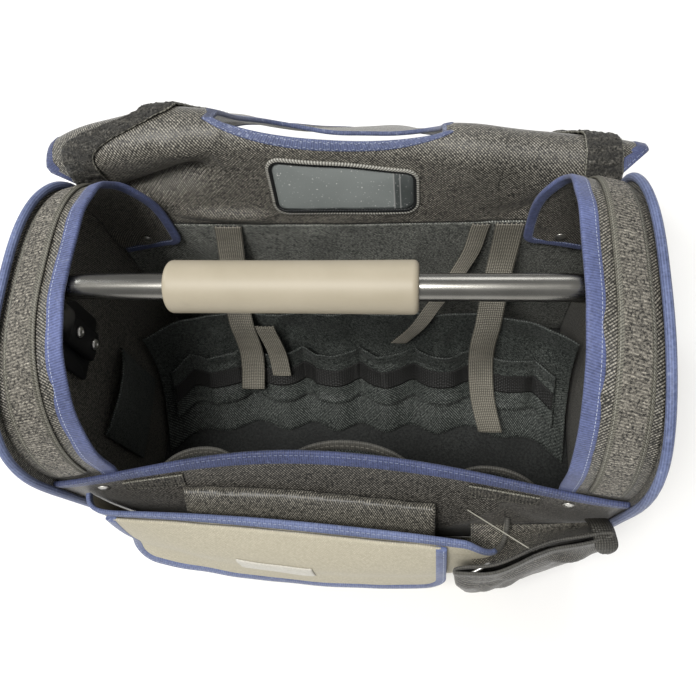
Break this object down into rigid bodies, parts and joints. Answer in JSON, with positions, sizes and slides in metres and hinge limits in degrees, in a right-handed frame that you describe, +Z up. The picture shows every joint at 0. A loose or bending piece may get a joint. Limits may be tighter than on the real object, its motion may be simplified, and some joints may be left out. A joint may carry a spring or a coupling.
{
  "type": "open top tool tote",
  "caption": "Open cloth tool tote with arched sides, a steel carrying handle with a round grip, a slotted lid thrown back, inner pockets and a flapped front pocket.",
  "frame": {"origin": "on the floor, under the middle of the base panel", "axes": "+X to the right seen from the front, +Y to the back where the lid hangs, +Z up"},
  "size_m": [0.4927, 0.5372, 0.3725],
  "materials": {
    "charcoal_nylon": "heavy woven nylon, diagonal weave",
    "dark_lining": "plain dark nylon",
    "blue_binding": "ribbed blue edge tape with pale stitching",
    "hook_pile": "hook and loop fastening strip",
    "dark_webbing": "woven webbing",
    "khaki_cloth": "smooth khaki nylon",
    "grip_rubber": "satin light grey",
    "bright_steel": "polished",
    "black_plastic": "matt black",
    "clear_window": "clear flexible film over grey",
    "grey_frame": "satin light grey"
  },
  "bodies": {
    "root": {"base_panel": "charcoal_nylon", "front_wall": "charcoal_nylon", "back_wall": "dark_lining", "front_rim_binding": "blue_binding", "left_side_panel": "charcoal_nylon", "left_piping": "blue_binding", "right_side_panel": "charcoal_nylon", "right_piping": "blue_binding", "left_strip": "charcoal_nylon", "left_strip_binding": "blue_binding", "left_hook_strip": "hook_pile", "right_strip": "charcoal_nylon", "right_strip_binding": "blue_binding", "right_hook_strip": "hook_pile", "lid": "charcoal_nylon", "lid_slot_binding": "blue_binding", "lid_edge_binding": "blue_binding", "lid_left_loop_strip": "hook_pile", "lid_right_loop_strip": "hook_pile", "lid_window_frame": "grey_frame", "lid_window": "clear_window", "handle_tube": "bright_steel", "handle_grip": "grip_rubber", "left_handle_plate": "black_plastic", "left_lower_screw": "bright_steel", "left_upper_screw": "bright_steel", "right_handle_plate": "black_plastic", "right_lower_screw": "bright_steel", "right_upper_screw": "bright_steel", "left_front_rivet": "bright_steel", "right_front_rivet": "bright_steel", "left_ear_rivet": "bright_steel", "right_ear_rivet": "bright_steel", "front_pocket": "khaki_cloth", "front_pocket_binding": "blue_binding", "pocket_flap": "khaki_cloth", "pocket_flap_binding": "blue_binding", "label_patch": "khaki_cloth", "left_front_loop_patch": "hook_pile", "right_front_loop_patch": "hook_pile", "closure_bar": "charcoal_nylon", "pouch": "charcoal_nylon", "pouch_binding": "charcoal_nylon", "pouch_bar": "bright_steel", "pouch_tab": "dark_webbing", "back_pocket_panel": "dark_lining", "pocket_row": "dark_lining", "elastic_band": "dark_webbing", "left_inner_pocket": "dark_lining", "middle_inner_pocket": "dark_lining", "right_inner_pocket": "dark_lining", "left_side_pocket": "dark_lining", "left_side_tab": "dark_webbing", "left_strap": "dark_webbing", "left_strap_loop": "dark_webbing", "right_narrow_strap": "dark_webbing", "right_wide_strap": "dark_webbing"}
  },
  "joints": []
}
